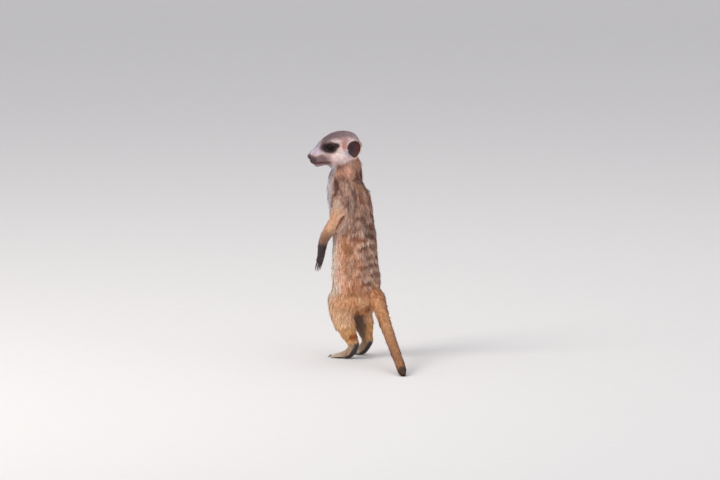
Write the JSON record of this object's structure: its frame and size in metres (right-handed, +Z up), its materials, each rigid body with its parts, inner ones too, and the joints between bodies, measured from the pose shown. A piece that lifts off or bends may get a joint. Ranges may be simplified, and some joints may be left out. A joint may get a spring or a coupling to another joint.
{
  "type": "meerkat, standing on watch",
  "caption": "Still, life-size meerkat standing upright on its hind feet and propped by its tail, forepaws hanging, head turned to its left.",
  "frame": {"origin": "middle of the bounding box at floor level, under the animal", "axes": "+Z up; the trunk faces -Y; the animal's left side is at +X, and the head is turned towards it; the tail runs back towards +Y and +X"},
  "size_m": [0.1468, 0.2142, 0.2996],
  "materials": {
    "face": "short pale grey-buff fur",
    "throat": "short whitish fur",
    "neck": "tan-brown fur with darker streaks",
    "back": "tan-orange fur with dark bands across the back",
    "rump": "golden orange fur",
    "limb": "golden buff fur",
    "paw": "short dark grey-brown fur and bare pads",
    "tail": "orange-tan fur",
    "tail_tip": "dark brown fur",
    "eye": "wet, dark brown",
    "ear": "short dark fur",
    "nose": "bare, slightly damp skin",
    "claw": "smooth horn"
  },
  "bodies": {
    "root": {"abdomen": "back", "chest": "back", "claw_fore_left_1": "claw", "claw_fore_left_2": "claw", "claw_fore_left_3": "claw", "claw_fore_left_4": "claw", "claw_fore_right_1": "claw", "claw_fore_right_2": "claw", "claw_fore_right_3": "claw", "claw_fore_right_4": "claw", "claw_hind_left_1": "claw", "claw_hind_left_2": "claw", "claw_hind_left_3": "claw", "claw_hind_left_4": "claw", "claw_hind_right_1": "claw", "claw_hind_right_2": "claw", "claw_hind_right_3": "claw", "claw_hind_right_4": "claw", "ear_left": "ear", "ear_right": "ear", "eye_left": "eye", "eye_right": "eye", "forearm_left": "limb", "forearm_right": "limb", "forepaw_left": "paw", "forepaw_right": "paw", "head": "face", "hind_foot_left": "paw", "hind_foot_right": "paw", "lower_jaw": "throat", "neck": "neck", "nose": "nose", "pelvis": "rump", "shank_left": "limb", "shank_right": "limb", "tail_end": "tail", "tail_middle": "tail", "tail_root": "tail", "tail_tip": "tail_tip", "thigh_left": "limb", "thigh_right": "limb", "upper_arm_left": "limb", "upper_arm_right": "limb"}
  },
  "joints": []
}
